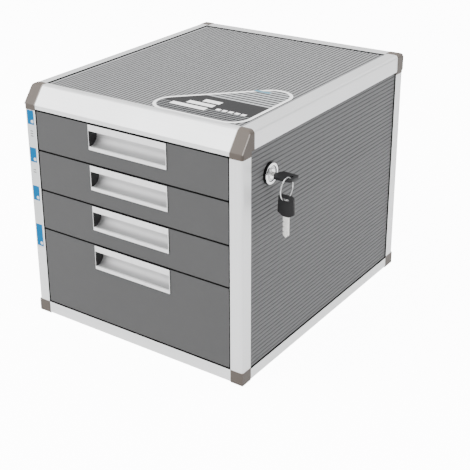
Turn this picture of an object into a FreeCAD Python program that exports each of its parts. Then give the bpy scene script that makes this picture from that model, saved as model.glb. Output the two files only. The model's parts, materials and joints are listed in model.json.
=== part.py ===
"""Desktop file drawer: an aluminium-framed cabinet with four locking drawers.

Millimetres. The front faces -Y, +X is to the right of someone facing the front, +Z is up.
The origin is the centre of the base, on the surface that the cabinet stands on.
"""
import FreeCAD, Part
import math
import os

Vector = FreeCAD.Vector

# Overall size
cabinet_width = 300.0
cabinet_depth = 357.0
cabinet_height = 290.1

# Aluminium extrusions of the frame
post_width = 15.8
front_post_depth = 15.8
back_post_depth = 17.5
post_corner_radius = 2.4
top_front_depth = 22.8
top_front_drop = 25.6
top_front_lip = 5.0
top_front_lip_radius = 2.0
top_front_slope_run = 15.6
top_front_round = 5.5
top_side_width = 15.0
top_side_drop = 21.4
top_rail_round = 4.8
top_back_depth = 19.7
bottom_rail_lift = 1.0
bottom_front_rise = 16.5
bottom_side_rise = 15.0
bottom_rail_depth = 15.8
bottom_rail_round = 1.6
rail_edge_radius = 0.5
rail_wall = 1.5
groove_depth = 3.0
groove_lip = 1.1

# Corner pieces that plug the extrusions together
corner_proud = 0.4
top_front_corner_depth = 21.4
top_back_corner_depth = 14.6
top_front_corner_drop = 27.1
top_back_corner_drop = 24.3
tenon_length = 18.0
tenon_clearance = 0.15

# Ribbed panels held in the extrusions' grooves
panel_thickness = 2.5
panel_clearance = 0.1
panel_edge_clearance = 0.3
panel_notch_clearance = 0.2
rib_depth = 0.55
side_rib_pitch = 4.9
top_rib_pitch = 5.05
rib_margin = 4.5
rib_floor_share = 0.16
rib_mouth_share = 0.40
bottom_panel_rise = 4.0

# Drawer fronts
drawer_gap = 1.5
front_head_gap = 0.6
first_front_drop = 1.2
shallow_pitch = 49.6
shallow_count = 3
front_recess = 0.4
front_depth = 15.0
front_wall = 3.0
front_edge_radius = 0.8
pocket_wall = 2.2
pocket_limit = 30.0

# Recessed pulls
pull_width = 108.4
pull_height = 30.3
pull_proud = 0.6
pull_depth = 14.2
pull_wall = 1.6
pull_side_lip = 0.9
pull_top_lip = 7.8
pull_bottom_lip = 4.3
pull_lip_thickness = 2.4
pull_roof = 2.0
pull_clearance = 0.2
pull_edge_radius = 0.5
scoop_rise = 8.0
scoop_sag = 3.6

# Trays
tray_side_room = 24.0
tray_wall = 2.0
tray_floor = 2.0
tray_foot_gap = 2.0
tray_head_room = 8.0
tray_back_room = 20.6
tray_inner_radius = 5.0
tray_flange_width = 6.4
tray_flange_thickness = 2.4
tray_flange_rise = 0.5
tray_rim_width = 1.6
tray_rim_height = 2.0

# Runner liners on both sides
liner_thickness = 2.0
liner_edge_gap = 0.3
liner_end_gap = 0.3
ledge_reach = 20.2
ledge_thickness = 2.0
runner_clearance = 0.3
liner_tab_thickness = 2.0
liner_screw_height_share = 0.62

# Lock on the right side
lock_from_front = 52.0
lock_from_top = 57.1
bezel_radius = 12.2
bezel_thickness = 3.4
bezel_bevel = 1.2
bezel_dish_radius = 8.4
bezel_dish_depth = 0.7
lock_body_radius = 8.0
lock_body_length = 10.8
lock_nut_radius = 11.0
lock_nut_thickness = 3.0
lock_hole_clearance = 0.2
plug_radius = 5.4
plug_clearance = 0.05
plug_proud = 0.4
plug_bevel = 0.3
cam_gap = 0.2
cam_thickness = 1.6
cam_width = 8.0
cam_throw = 10.0
cam_start_angle = 45.0
cam_pin_radius = 1.5
cam_pin_extra = 0.6
cam_screw_radius = 1.25
cam_screw_length = 3.2
cam_screw_head_radius = 2.6
cam_screw_head_height = 1.2

# Lock bar that blocks every drawer at once
bar_gap = 0.4
bar_thickness = 1.6
bar_from_axis = 3.6
bar_width = 10.6
bar_clearance = 0.4
bar_end_margin = 4.0
slot_clearance = 0.7
hook_reach = 6.6
hook_height = 6.0
hook_width = 7.0
hook_offset = 12.0
catch_offset = 20.5
catch_height = 9.0
catch_length = 4.0
catch_reach = 3.4
catch_gap = 0.6

# Keys and their ring
key_width = 7.2
key_thickness = 1.8
key_slot_clearance = 0.2
key_insertion = 10.6
key_shoulder = 3.4
key_head_length = 24.0
key_head_width = 20.0
key_head_end_width = 18.0
key_head_shoulder = 4.0
key_head_thickness = 2.4
key_head_round = 3.5
key_head_edge_radius = 0.5
key_hole_length = 8.0
key_hole_width = 3.4
key_hole_from_end = 5.5
key_hole_round_share = 0.9
key_tang_length = 9.0
key_tang_width = 5.0
key_tang_thickness = 1.0
key_tang_clearance = 0.05
key_bite_depth = 1.5
key_bite_count = 3
ring_radius = 12.0
ring_wire_radius = 0.65
ring_lean = 40.0
ring_rest_gap = 0.4
spare_blade_length = 24.0

# Fasteners
screw_radius = 1.4
screw_length = 9.0
screw_head_radius = 2.7
screw_head_height = 1.7
screw_clearance = 0.1
screw_boss_radius = 4.0
screw_seat_margin = 0.5
screw_inset = 12.0
driver_slot_width = 0.8
driver_slot_depth = 0.8

# Stickers
label_length = 157.0
label_front_round = 24.0
label_far_round = 24.0
label_side_gap = 5.5
label_front_gap = 0.9
label_thickness = 0.3
strip_width = 11.0
strip_top_gap = 0.6
strip_length = 174.0
strip_inset = 2.6
strip_thickness = 0.2

overrun = 1.0

# Places that follow from the sizes
right = cabinet_width / 2
back = cabinet_depth / 2
opening_top = cabinet_height - top_front_drop
opening_bottom = bottom_front_rise
panel_groove = panel_thickness + 2 * panel_clearance
panel_outer = groove_lip + panel_clearance
panel_inner = panel_outer + panel_thickness
panel_bite = groove_depth - panel_edge_clearance
liner_outer = panel_inner + panel_clearance
liner_inner = liner_outer + liner_thickness
drawer_count = shallow_count + 1
lock_y = lock_from_front - back
lock_height = cabinet_height - lock_from_top
bezel_face = panel_outer - bezel_thickness
body_end = panel_outer + lock_body_length
cam_start = body_end + cam_gap
cam_end = cam_start + cam_thickness
bar_outer = cam_end + bar_gap
bar_inner = bar_outer + bar_thickness
bar_front = lock_y + bar_from_axis
bar_back = bar_front + bar_width
cam_reach = cam_throw * math.cos(math.radians(cam_start_angle))
key_stop = bezel_face - plug_proud - key_shoulder


# Places measured from the cabinet's faces

def inward(distance):
    """X of a place that far inside the right face."""
    return right - distance


def behind(distance):
    """Y of a place that far behind the front face."""
    return distance - back


def ahead(distance):
    """Y of a place that far ahead of the back face."""
    return back - distance


def down(distance):
    """Z of a place that far below the top."""
    return cabinet_height - distance


front_half_width = inward(post_width) - drawer_gap
front_face = behind(front_recess)
front_rear = behind(front_recess + front_depth)
pull_half_width = pull_width / 2
tray_half_width = inward(tray_side_room)
tray_rear = ahead(tray_back_room)
liner_screw_x = inward(liner_inner + screw_head_radius + screw_seat_margin)
key_blade_length = key_insertion + key_shoulder
key_shoulder_x = inward(key_stop)
key_hole_x = key_shoulder_x + key_head_length - key_hole_from_end
ring_y = lock_y - ring_radius * math.sin(math.radians(ring_lean))
ring_z = lock_height - ring_radius * math.cos(math.radians(ring_lean))
spare_hole_z = ring_z - ring_radius + ring_wire_radius + ring_rest_gap - key_hole_width / 2
spare_shoulder_z = spare_hole_z - key_head_length + key_hole_from_end


# How a section's two coordinates and the run along it stand in the cabinet

def across_side_top(u, v, along):
    return Vector(inward(u), along, down(v))


def across_front_top(u, v, along):
    return Vector(along, behind(u), down(v))


def across_back_top(u, v, along):
    return Vector(along, ahead(u), down(v))


def across_side_bottom(u, v, along):
    return Vector(inward(u), along, v)


def across_front_bottom(u, v, along):
    return Vector(along, behind(u), v)


def across_back_bottom(u, v, along):
    return Vector(along, ahead(u), v)


def across_front_post(u, v, along):
    return Vector(inward(u), behind(v), along)


def across_back_post(u, v, along):
    return Vector(inward(u), ahead(v), along)


def across_x(u, v, along):
    return Vector(along, u, v)


def across_y(u, v, along):
    return Vector(u, along, v)


def across_z(u, v, along):
    return Vector(u, v, along)


# Shapes

def rectangle(u_span, v_span, radius=0):
    """Corners of a rectangle between two values each way."""
    u_low, u_high = min(u_span), max(u_span)
    v_low, v_high = min(v_span), max(v_span)
    corners = [(u_low, v_low), (u_high, v_low), (u_high, v_high), (u_low, v_high)]
    return [(u, v, radius) for u, v in corners]


def rounded_corner(before, corner, after, radius):
    """Start, middle and end of the arc that rounds a corner, as flat points."""
    towards_before = (before - corner).normalize()
    towards_after = (after - corner).normalize()
    half_angle = towards_before.getAngle(towards_after) / 2
    reach = radius / math.tan(half_angle)
    bisector = (towards_before + towards_after).normalize()
    middle = corner + bisector * (radius / math.sin(half_angle) - radius)
    return corner + towards_before * reach, middle, corner + towards_after * reach


def prism(corners, place, start, end):
    """A solid with the given rounded outline, run from start to end."""
    points = [Vector(u, v, 0) for u, v, radius in corners]
    turns = []
    for index, (u, v, radius) in enumerate(corners):
        after = points[(index + 1) % len(points)]
        if radius:
            turns.append(rounded_corner(points[index - 1], points[index], after, radius))
        else:
            turns.append((points[index], None, points[index]))
    edges = []
    for index, (first, middle, last) in enumerate(turns):
        if middle:
            arc_points = [place(point.x, point.y, start) for point in (first, middle, last)]
            edges.append(Part.Arc(*arc_points).toShape())
        following = turns[(index + 1) % len(turns)][0]
        line_points = [place(point.x, point.y, start) for point in (last, following)]
        edges.append(Part.LineSegment(*line_points).toShape())
    face = Part.Face(Part.Wire(edges))
    return outward(face.extrude(place(0, 0, end) - place(0, 0, start)))


def outward(solid):
    """The same solid with its faces turned outwards."""
    if solid.Volume < 0:
        solid.reverse()
    return solid


def box(x_span, y_span, z_span):
    """A block between two values on each axis, given in any order."""
    low = Vector(min(x_span), min(y_span), min(z_span))
    size = Vector(max(x_span), max(y_span), max(z_span)) - low
    return Part.makeBox(size.x, size.y, size.z, low)


def rod(place, u, v, start, end, radius):
    """A cylinder along a section's run."""
    foot = place(u, v, start)
    direction = place(u, v, end) - foot
    return Part.makeCylinder(radius, direction.Length, foot, direction)


def cone(place, u, v, start, end, start_radius, end_radius):
    """A cone along a section's run."""
    foot = place(u, v, start)
    direction = place(u, v, end) - foot
    return Part.makeCone(start_radius, end_radius, direction.Length, foot, direction)


def fuse(solids):
    """One solid made of several that touch or overlap."""
    joined = solids[0]
    for solid in solids[1:]:
        joined = joined.fuse(solid)
    return joined.removeSplitter()


def cut(solid, tools):
    """A solid with every tool taken out of it."""
    for tool in tools:
        solid = solid.cut(tool)
    return solid


def mirrored(solid):
    """The same piece for the left side of the cabinet."""
    return outward(solid.mirror(Vector(0, 0, 0), Vector(1, 0, 0)))


def screw(place, u, v, head_face, direction):
    """A pan-head screw whose head's underside lies on head_face; its shank runs the way of direction."""
    shank = rod(place, u, v, head_face, head_face + direction * screw_length, screw_radius)
    head_end = head_face - direction * screw_head_height
    head = rod(place, u, v, head_face, head_end, screw_head_radius)
    slot_floor = head_end + direction * driver_slot_depth
    slot_half = driver_slot_width / 2
    slot_run = screw_head_radius + overrun
    slot = prism(
        rectangle((u - slot_run, u + slot_run), (v - slot_half, v + slot_half)),
        place, slot_floor, head_end - direction * overrun,
    )
    return cut(fuse([shank, head]), [slot])


def screw_hole(place, u, v, start, end):
    """The clearance hole of a screw."""
    return rod(place, u, v, start, end, screw_radius + screw_clearance)


# Outlines of the extrusions, all moved inwards by an inset

def sloped_outline(inset, far_edge, low_edge, lip_radius, round_radius):
    """The wide front rail: a short upright lip, a long slope and a flat top."""
    slope_drop = top_front_drop - top_front_lip
    steepness = slope_drop / top_front_slope_run
    stretch = math.hypot(1, steepness)
    lip_top = slope_drop * (1 - inset / top_front_slope_run) + inset * stretch
    slope_top = top_front_slope_run * (1 + inset * (stretch - 1) / slope_drop)
    return [
        (inset, low_edge, 0),
        (inset, lip_top, lip_radius),
        (slope_top, inset, round_radius),
        (far_edge, inset, 0),
        (far_edge, low_edge, 0),
    ]


def top_rail_outline(inset, far_edge, low_edge):
    """A side or back rail of the top, rounded along its outer upper edge."""
    return [
        (inset, low_edge, 0),
        (inset, inset, top_rail_round - inset),
        (far_edge, inset, 0),
        (far_edge, low_edge, 0),
    ]


def bottom_rail_outline(inset, far_edge, low_edge, high_edge):
    """A rail of the bottom, rounded along its outer lower edge."""
    return [
        (inset, low_edge, max(bottom_rail_round - inset, rail_edge_radius)),
        (far_edge, low_edge, 0),
        (far_edge, high_edge, 0),
        (inset, high_edge, 0),
    ]


def post_outline(inset, far_u, far_v):
    """A post, rounded along its outer corner."""
    return [
        (inset, inset, max(post_corner_radius - inset, rail_edge_radius)),
        (far_u, inset, 0),
        (far_u, far_v, 0),
        (inset, far_v, 0),
    ]


# Bores of the extrusions; a tenon is the same outline with a larger inset

def top_front_bore(extra):
    inset = rail_wall + extra
    far_edge = top_front_depth - groove_depth - inset
    return sloped_outline(inset, far_edge, top_front_drop - inset, rail_edge_radius, rail_edge_radius)


def top_rail_bore(extra, width):
    inset = rail_wall + extra
    low_edge = top_side_drop - groove_depth - inset
    return top_rail_outline(inset, width - groove_depth - inset, low_edge)


def bottom_rail_bore(extra, rise, grooved_top):
    inset = rail_wall + extra
    high_edge = rise - inset - (groove_depth if grooved_top else 0)
    far_edge = bottom_rail_depth - groove_depth - inset
    return bottom_rail_outline(inset, far_edge, bottom_rail_lift + inset, high_edge)


def post_bore(extra, depth, grooved_inside):
    inset = rail_wall + extra
    far_u = post_width - inset - (groove_depth if grooved_inside else 0)
    return post_outline(inset, far_u, depth - groove_depth - inset)


def outer_groove(far_edge):
    """The groove that opens on the edge opposite the visible one, next to the outer face."""
    return rectangle((groove_lip, groove_lip + panel_groove), (far_edge - groove_depth, far_edge + overrun))


def swapped(corners):
    """The same outline with its two coordinates exchanged."""
    return [(v, u, radius) for u, v, radius in corners]


def extrusion(outer, bore, grooves, place, start, end):
    """One length of hollow aluminium extrusion."""
    solid = prism(outer, place, start, end)
    low, high = min(start, end) - overrun, max(start, end) + overrun
    return cut(solid, [prism(hollow, place, low, high) for hollow in [bore] + grooves])


# Frame

def top_front_rail():
    outer = sloped_outline(0, top_front_depth, top_front_drop, top_front_lip_radius, top_front_round)
    groove = swapped(outer_groove(top_front_depth))
    end = inward(post_width)
    return extrusion(outer, top_front_bore(0), [groove], across_front_top, -end, end)


def top_back_rail():
    outer = top_rail_outline(0, top_back_depth, top_side_drop)
    grooves = [outer_groove(top_side_drop), swapped(outer_groove(top_back_depth))]
    end = inward(post_width)
    return extrusion(outer, top_rail_bore(0, top_back_depth), grooves, across_back_top, -end, end)


def top_side_rail():
    outer = top_rail_outline(0, top_side_width, top_side_drop)
    grooves = [outer_groove(top_side_drop), swapped(outer_groove(top_side_width))]
    start, end = behind(top_front_corner_depth), ahead(top_back_corner_depth)
    return extrusion(outer, top_rail_bore(0, top_side_width), grooves, across_side_top, start, end)


def bottom_panel_groove():
    depths = (bottom_rail_depth - groove_depth, bottom_rail_depth + overrun)
    return rectangle(depths, (bottom_panel_rise, bottom_panel_rise + panel_groove))


def bottom_front_rail():
    outer = bottom_rail_outline(0, bottom_rail_depth, bottom_rail_lift, bottom_front_rise)
    bore = bottom_rail_bore(0, bottom_front_rise, False)
    end = inward(post_width)
    return extrusion(outer, bore, [bottom_panel_groove()], across_front_bottom, -end, end)


def bottom_back_rail():
    outer = bottom_rail_outline(0, bottom_rail_depth, bottom_rail_lift, bottom_side_rise)
    bore = bottom_rail_bore(0, bottom_side_rise, True)
    grooves = [outer_groove(bottom_side_rise), bottom_panel_groove()]
    end = inward(post_width)
    return extrusion(outer, bore, grooves, across_back_bottom, -end, end)


def bottom_side_rail():
    outer = bottom_rail_outline(0, bottom_rail_depth, bottom_rail_lift, bottom_side_rise)
    bore = bottom_rail_bore(0, bottom_side_rise, True)
    grooves = [outer_groove(bottom_side_rise), bottom_panel_groove()]
    start, end = behind(front_post_depth), ahead(back_post_depth)
    return extrusion(outer, bore, grooves, across_side_bottom, start, end)


def liner_screw_heights():
    """Heights of the screws that hold a liner to a post: at the top and the bottom drawer."""
    ends = (0, drawer_count - 1)
    return [tray_bottom(index) + tray_height(index) * liner_screw_height_share for index in ends]


def post(place, depth, grooved_inside, start, end):
    outer = post_outline(0, post_width, depth)
    grooves = [outer_groove(depth)]
    if grooved_inside:
        grooves.append(swapped(outer_groove(post_width)))
    solid = extrusion(outer, post_bore(0, depth, grooved_inside), grooves, place, start, end)
    low, high = behind(depth - groove_depth - rail_wall) - overrun, behind(depth) + overrun
    if grooved_inside:
        low, high = -high, -low
    holes = [screw_hole(across_y, liner_screw_x, height, low, high) for height in liner_screw_heights()]
    return cut(solid, holes)


def front_post():
    return post(across_front_post, front_post_depth, False, bottom_front_rise, down(top_front_corner_drop))


def back_post():
    return post(across_back_post, back_post_depth, True, bottom_front_rise, down(top_back_corner_drop))


# Panels

def ribbed_outline(length, pitch):
    """A sheet seen on end: flat behind, with evenly spaced grooves between the ribs in front."""
    count = int((length - 2 * rib_margin) / pitch)
    first = (length - count * pitch) / 2
    corners = [(0, 0, 0)]
    for index in range(count):
        middle = first + (index + 1 / 2) * pitch
        mouth = pitch * rib_mouth_share / 2
        floor = pitch * rib_floor_share / 2
        corners += [
            (0, middle - mouth, 0),
            (rib_depth, middle - floor, 0),
            (rib_depth, middle + floor, 0),
            (0, middle + mouth, 0),
        ]
    return corners + [(0, length, 0), (panel_thickness, length, 0), (panel_thickness, 0, 0)]


def side_panel_span():
    low = bottom_side_rise - panel_bite
    high = down(top_side_drop - panel_bite)
    return (behind(front_post_depth - panel_bite), ahead(back_post_depth - panel_bite)), (low, high)


def back_panel_span():
    reach = inward(post_width - panel_bite)
    return (-reach, reach), (bottom_side_rise - panel_bite, down(top_side_drop - panel_bite))


def top_panel_span():
    reach = inward(top_side_width - panel_bite)
    return (-reach, reach), (behind(top_front_depth - panel_bite), ahead(top_back_depth - panel_bite))


def bottom_panel_span():
    reach = inward(bottom_rail_depth - panel_bite)
    edge = bottom_rail_depth - panel_bite
    return (-reach, reach), (behind(edge), ahead(edge))


def side_panel():
    (y_low, y_high), (z_low, z_high) = side_panel_span()

    def place(depth, rise, along):
        return Vector(inward(panel_outer + depth), along, z_low + rise)

    return prism(ribbed_outline(z_high - z_low, side_rib_pitch), place, y_low, y_high)


def lock_hole(start, end):
    """The round hole for the lock, between two depths inside the right face."""
    radius = lock_body_radius + lock_hole_clearance
    return rod(across_x, lock_y, lock_height, inward(start), inward(end), radius)


def right_side_panel():
    return cut(side_panel(), [lock_hole(-overrun, liner_inner)])


def back_panel():
    (x_low, x_high), (z_low, z_high) = back_panel_span()

    def place(depth, rise, along):
        return Vector(along, ahead(panel_outer + depth), z_low + rise)

    return prism(ribbed_outline(z_high - z_low, side_rib_pitch), place, x_low, x_high)


def top_panel():
    (x_low, x_high), (y_low, y_high) = top_panel_span()

    def place(depth, across, along):
        return Vector(x_low + across, along, down(panel_outer + depth))

    return prism(ribbed_outline(x_high - x_low, top_rib_pitch), place, y_low, y_high)


def bottom_panel():
    x_span, y_span = bottom_panel_span()
    low = bottom_panel_rise + panel_clearance
    return box(x_span, y_span, (low, low + panel_thickness))


# Corner pieces

def roomy(span):
    """A panel's stretch with the room that it needs at both ends."""
    low, high = span
    return low - panel_notch_clearance, high + panel_notch_clearance


def panel_notches():
    """Room in a right-hand corner piece for the corners of the panels that meet there."""
    outer, inner = panel_outer - panel_clearance, panel_inner + panel_clearance
    side_y, side_z = [roomy(span) for span in side_panel_span()]
    rear_x, rear_z = [roomy(span) for span in back_panel_span()]
    upper_x, upper_y = [roomy(span) for span in top_panel_span()]
    lower_x, lower_y = [roomy(span) for span in bottom_panel_span()]
    return [
        box((inward(outer), inward(inner)), side_y, side_z),
        box(rear_x, (ahead(outer), ahead(inner)), rear_z),
        box(upper_x, upper_y, (down(outer), down(inner))),
        box(lower_x, lower_y, (bottom_panel_rise, bottom_panel_rise + panel_groove)),
    ]


def corner_piece(lengthwise, crosswise, skirt, tenons):
    """A corner: where the two rails' outlines cross, with the skirt over the post and three tenons."""
    core = lengthwise.common(crosswise)
    if skirt:
        core = core.fuse(skirt)
    return cut(fuse([core] + tenons), panel_notches())


def top_front_corner():
    proud = -corner_proud
    reach = inward(post_width)
    crosswise = prism(
        sloped_outline(proud, top_front_corner_depth, top_side_drop, top_front_lip_radius, top_front_round),
        across_front_top, reach, right + overrun,
    )
    lengthwise = prism(
        top_rail_outline(proud, post_width, top_side_drop),
        across_side_top, behind(-overrun), behind(top_front_corner_depth),
    )
    skirt_low, skirt_high = down(top_front_corner_drop), down(top_side_drop)
    skirt = prism(post_outline(proud, post_width, front_post_depth), across_front_post, skirt_low, skirt_high)
    gap = tenon_clearance
    tenons = [
        prism(top_front_bore(gap), across_front_top, reach - tenon_length, reach),
        prism(
            top_rail_bore(gap, top_side_width), across_side_top,
            behind(top_front_corner_depth), behind(top_front_corner_depth + tenon_length),
        ),
        prism(
            post_bore(gap, front_post_depth, False), across_front_post,
            skirt_low - tenon_length, skirt_low,
        ),
    ]
    return corner_piece(lengthwise, crosswise, skirt, tenons)


def top_back_corner():
    proud = -corner_proud
    reach = inward(post_width)
    crosswise = prism(
        top_rail_outline(proud, top_back_corner_depth, top_side_drop),
        across_back_top, reach, right + overrun,
    )
    lengthwise = prism(
        top_rail_outline(proud, post_width, top_side_drop),
        across_side_top, ahead(top_back_corner_depth), ahead(-overrun),
    )
    skirt_low, skirt_high = down(top_back_corner_drop), down(top_side_drop)
    skirt = prism(post_outline(proud, post_width, back_post_depth), across_back_post, skirt_low, skirt_high)
    gap = tenon_clearance
    tenons = [
        prism(top_rail_bore(gap, top_back_depth), across_back_top, reach - tenon_length, reach),
        prism(
            top_rail_bore(gap, top_side_width), across_side_top,
            ahead(top_back_corner_depth + tenon_length), ahead(top_back_corner_depth),
        ),
        prism(post_bore(gap, back_post_depth, True), across_back_post, skirt_low - tenon_length, skirt_low),
    ]
    return corner_piece(lengthwise, crosswise, skirt, tenons)


def bottom_corner(across_end, post_place, post_depth, measured_from, grooved_inside):
    """A bottom corner: it stands on the ground and carries the post."""
    proud = -corner_proud
    reach = inward(post_width)
    rise = bottom_front_rise
    crosswise = prism(bottom_rail_outline(proud, post_depth, 0, rise), across_end, reach, right + overrun)
    side_start, side_end = measured_from(-overrun), measured_from(post_depth)
    side_outline = bottom_rail_outline(proud, post_width, 0, rise)
    lengthwise = prism(side_outline, across_side_bottom, side_start, side_end)
    gap = tenon_clearance
    end_rise = bottom_side_rise if grooved_inside else bottom_front_rise
    tenons = [
        prism(bottom_rail_bore(gap, end_rise, grooved_inside), across_end, reach - tenon_length, reach),
        prism(
            bottom_rail_bore(gap, bottom_side_rise, True), across_side_bottom,
            side_end, measured_from(post_depth + tenon_length),
        ),
        prism(post_bore(gap, post_depth, grooved_inside), post_place, rise, rise + tenon_length),
    ]
    return corner_piece(lengthwise, crosswise, None, tenons)


def bottom_front_corner():
    return bottom_corner(across_front_bottom, across_front_post, front_post_depth, behind, False)


def bottom_back_corner():
    return bottom_corner(across_back_bottom, across_back_post, back_post_depth, ahead, True)


# Drawers, counted from the top

def front_line(index):
    """Height at which a drawer's share of the opening begins."""
    return opening_top - front_head_gap - index * shallow_pitch


def front_top(index):
    """Height of a drawer front's upper edge; the first one clears the rail above it."""
    return front_line(index) - (first_front_drop if index == 0 else 0)


def front_bottom(index):
    """Height of a drawer front's lower edge; the last drawer takes the height that is left."""
    if index < shallow_count:
        return front_line(index) - shallow_pitch + drawer_gap
    return opening_bottom + drawer_gap


def tray_bottom(index):
    return front_bottom(index) + tray_foot_gap


def tray_height(index):
    return front_top(index) - tray_head_room - tray_bottom(index)


def cells(span, limit):
    """Equal stretches of a span, no longer than the limit, with a wall between neighbours."""
    low, high = span
    count = max(1, math.ceil((high - low) / limit))
    size = (high - low - (count - 1) * pocket_wall) / count
    starts = [low + number * (size + pocket_wall) for number in range(count)]
    return [(start, start + size) for start in starts]


def front_pockets(index):
    """The ribbed hollow at the back of a moulded drawer front, beside and below the pull."""
    low, high = front_bottom(index) + front_wall, front_top(index) - front_wall
    inner, outer = pull_half_width + pull_clearance + front_wall, front_half_width - front_wall
    below = front_top(index) - pull_height - pull_clearance - front_wall
    zones = [
        ((inner, outer), (low, high)),
        ((-outer, -inner), (low, high)),
        ((-inner + pocket_wall, inner - pocket_wall), (low, below)),
    ]
    pockets = []
    for x_zone, z_zone in zones:
        for x_span in cells(x_zone, pocket_limit):
            for z_span in cells(z_zone, pocket_limit):
                pockets.append(box(x_span, (front_face + front_wall, front_rear + overrun), z_span))
    return pockets


def front_screw_places(index):
    """The four screws that hold a drawer front to its tray."""
    x_far = tray_half_width - screw_inset
    z_low = tray_bottom(index) + screw_inset
    z_high = tray_bottom(index) + tray_height(index) - screw_inset
    return [(x, z) for x in (-x_far, x_far) for z in (z_low, z_high)]


def drawer_front(index):
    top_edge = front_top(index)
    width, height = (-front_half_width, front_half_width), (front_bottom(index), top_edge)
    slab = prism(rectangle(width, height, front_edge_radius), across_y, front_face, front_rear)
    pull_room = box(
        (-pull_half_width - pull_clearance, pull_half_width + pull_clearance),
        (front_face - overrun, front_rear + overrun),
        (top_edge - pull_height - pull_clearance, top_edge + overrun),
    )
    hollow = cut(slab, front_pockets(index))
    bosses = [
        rod(across_y, x, z, front_face + front_wall - overrun, front_rear, screw_boss_radius)
        for x, z in front_screw_places(index)
    ]
    holes = [
        screw_hole(across_y, x, z, front_rear - screw_length, front_rear + overrun)
        for x, z in front_screw_places(index)
    ]
    return cut(fuse([hollow] + bosses), [pull_room] + holes)


def drawer_pull(index):
    """A recessed pull: a scooped cup with a deep upper lip and a shallow lower one."""
    crown = front_top(index)
    foot = crown - pull_height
    face = behind(-pull_proud)
    rear = front_face + pull_depth
    block = prism(
        rectangle((-pull_half_width, pull_half_width), (foot, crown), pull_edge_radius),
        across_y, face, rear,
    )
    cavity_half = pull_half_width - pull_side_lip
    cavity_rear = rear - pull_wall
    mouth_low = foot + pull_bottom_lip
    mouth_high = crown - pull_top_lip
    behind_lip = face + pull_lip_thickness
    scoop_start = across_x(face - overrun, mouth_low, -cavity_half)
    scoop_end = across_x(cavity_rear, mouth_low + scoop_rise, -cavity_half)
    chord = scoop_end - scoop_start
    square = Vector(0, chord.z, -chord.y).normalize()
    scoop_middle = (scoop_start + scoop_end) / 2 + square * scoop_sag
    edges = [Part.Arc(scoop_start, scoop_middle, scoop_end).toShape()]
    corners = [
        (cavity_rear, mouth_low + scoop_rise),
        (cavity_rear, crown - pull_roof),
        (behind_lip, crown - pull_roof),
        (behind_lip, mouth_high),
        (face - overrun, mouth_high),
        (face - overrun, mouth_low),
    ]
    points = [across_x(y, z, -cavity_half) for y, z in corners]
    for here, there in zip(points, points[1:]):
        edges.append(Part.LineSegment(here, there).toShape())
    cavity = outward(Part.Face(Part.Wire(edges)).extrude(Vector(2 * cavity_half, 0, 0)))
    return block.cut(cavity)


def tray(index):
    """A moulded tray with a flange that runs on each liner, a rim, and a catch for the lock bar."""
    low = tray_bottom(index)
    high = low + tray_height(index)
    outer = box((-tray_half_width, tray_half_width), (front_rear, tray_rear), (low, high))
    inside = rectangle(
        (-tray_half_width + tray_wall, tray_half_width - tray_wall),
        (front_rear + tray_wall, tray_rear - tray_wall),
        tray_inner_radius,
    )
    cavity = prism(inside, across_z, low + tray_floor, high + overrun)
    flange_z = (low + tray_flange_rise, low + tray_flange_rise + tray_flange_thickness)
    pieces = [outer]
    for side in (-1, 1):
        wall_x = side * (tray_half_width - tray_wall)
        flange_x = side * (tray_half_width + tray_flange_width)
        pieces.append(box((wall_x, flange_x), (front_rear, tray_rear), flange_z))
        rim_x = side * (tray_half_width + tray_rim_width)
        pieces.append(box((wall_x, rim_x), (front_rear, tray_rear), (high - tray_rim_height, high)))
    catch_y = bar_back + catch_gap
    catch_z = low + catch_offset
    pieces.append(
        box(
            (tray_half_width - tray_wall, tray_half_width + catch_reach),
            (catch_y, catch_y + catch_length),
            (catch_z, catch_z + catch_height),
        )
    )
    holes = [
        screw_hole(across_y, x, z, front_rear - overrun, front_rear + tray_wall + overrun)
        for x, z in front_screw_places(index)
    ]
    return cut(fuse(pieces), [cavity] + holes)


def drawer_screws(index):
    head_face = front_rear + tray_wall
    return Part.makeCompound([screw(across_y, x, z, head_face, -1) for x, z in front_screw_places(index)])


# Runner liners

def ledge_heights(index):
    """Heights between which a drawer's lower ledge and its keeper lie."""
    flange_low = tray_bottom(index) + tray_flange_rise
    flange_high = flange_low + tray_flange_thickness
    ledge = (flange_low - runner_clearance - ledge_thickness, flange_low - runner_clearance)
    keeper = (flange_high + runner_clearance, flange_high + runner_clearance + ledge_thickness)
    return ledge, keeper


def liner():
    """The right-hand liner: a plate with a ledge and a keeper for each drawer, and a tab at each post."""
    y_span = (behind(front_post_depth + liner_end_gap), ahead(back_post_depth + liner_end_gap))
    z_span = (bottom_side_rise + liner_edge_gap, down(top_side_drop + liner_edge_gap))
    pieces = [box((inward(liner_outer), inward(liner_inner)), y_span, z_span)]
    for index in range(drawer_count):
        for heights in ledge_heights(index):
            pieces.append(box((inward(liner_outer), inward(ledge_reach)), y_span, heights))
    tab_x = (inward(liner_outer), inward(post_width))
    front_tab = (behind(front_post_depth), behind(front_post_depth + liner_tab_thickness))
    back_tab = (ahead(back_post_depth), ahead(back_post_depth + liner_tab_thickness))
    for tab in (front_tab, back_tab):
        pieces.append(box(tab_x, tab, z_span))
    holes = []
    for height in liner_screw_heights():
        for tab in (front_tab, back_tab):
            holes.append(screw_hole(across_y, liner_screw_x, height, min(tab) - overrun, max(tab) + overrun))
    return cut(fuse(pieces), holes)


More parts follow.
